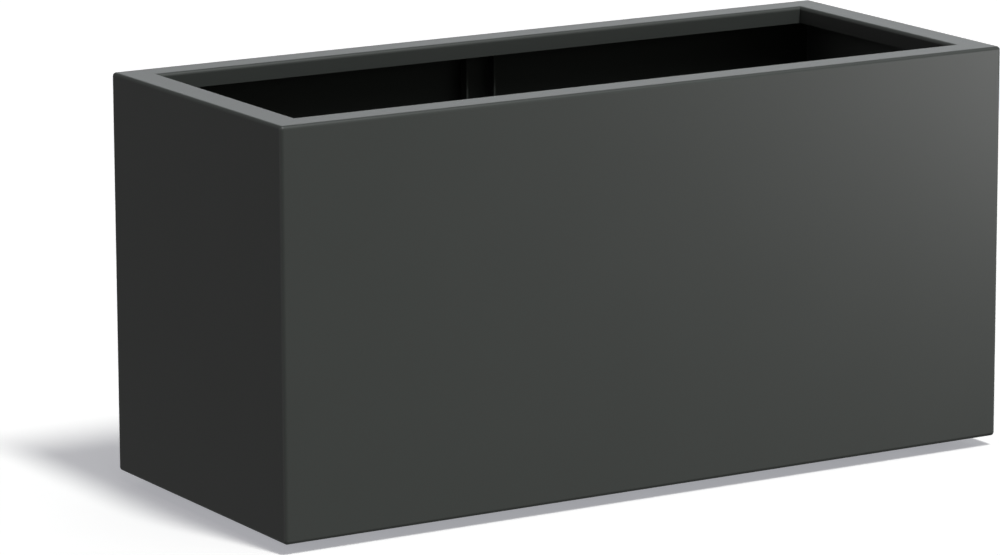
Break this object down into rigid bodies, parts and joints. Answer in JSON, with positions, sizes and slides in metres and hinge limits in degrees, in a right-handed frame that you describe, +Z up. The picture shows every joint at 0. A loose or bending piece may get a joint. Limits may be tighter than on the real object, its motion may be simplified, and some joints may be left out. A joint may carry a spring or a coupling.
{
  "type": "planter",
  "caption": "Rectangular open-topped floor planter of folded, dark grey coated aluminium sheet, with an inward rim and lip, drained base, wall stiffeners and low rubber feet.",
  "frame": {"origin": "on the floor under the middle of the planter", "axes": "+X along the length to the right, +Y from the front to the back, +Z up"},
  "size_m": [1.2, 0.5, 0.6],
  "materials": {
    "powder_coat": "satin, fine-textured anthracite powder coat",
    "bare_aluminium": "bare, dull silver",
    "stainless_steel": "turned stainless steel",
    "rubber": "matt black moulded rubber"
  },
  "bodies": {
    "root": {"back_panel": "powder_coat", "back_stiffener": "powder_coat", "back_stud_nuts": "stainless_steel", "back_stud_washers": "stainless_steel", "back_studs": "bare_aluminium", "base_sheet": "powder_coat", "foot_back_left": "rubber", "foot_back_middle": "rubber", "foot_back_right": "rubber", "foot_clinch_nuts": "stainless_steel", "foot_front_left": "rubber", "foot_front_middle": "rubber", "foot_front_right": "rubber", "foot_screws": "stainless_steel", "foot_washers": "stainless_steel", "front_panel": "powder_coat", "front_stiffener": "powder_coat", "front_stud_nuts": "stainless_steel", "front_stud_washers": "stainless_steel", "front_studs": "bare_aluminium", "left_bearer": "powder_coat", "left_bearer_rivets": "bare_aluminium", "left_end_panel": "powder_coat", "middle_bearer": "powder_coat", "middle_bearer_rivets": "bare_aluminium", "right_bearer": "powder_coat", "right_bearer_rivets": "bare_aluminium", "right_end_panel": "powder_coat"}
  },
  "joints": []
}
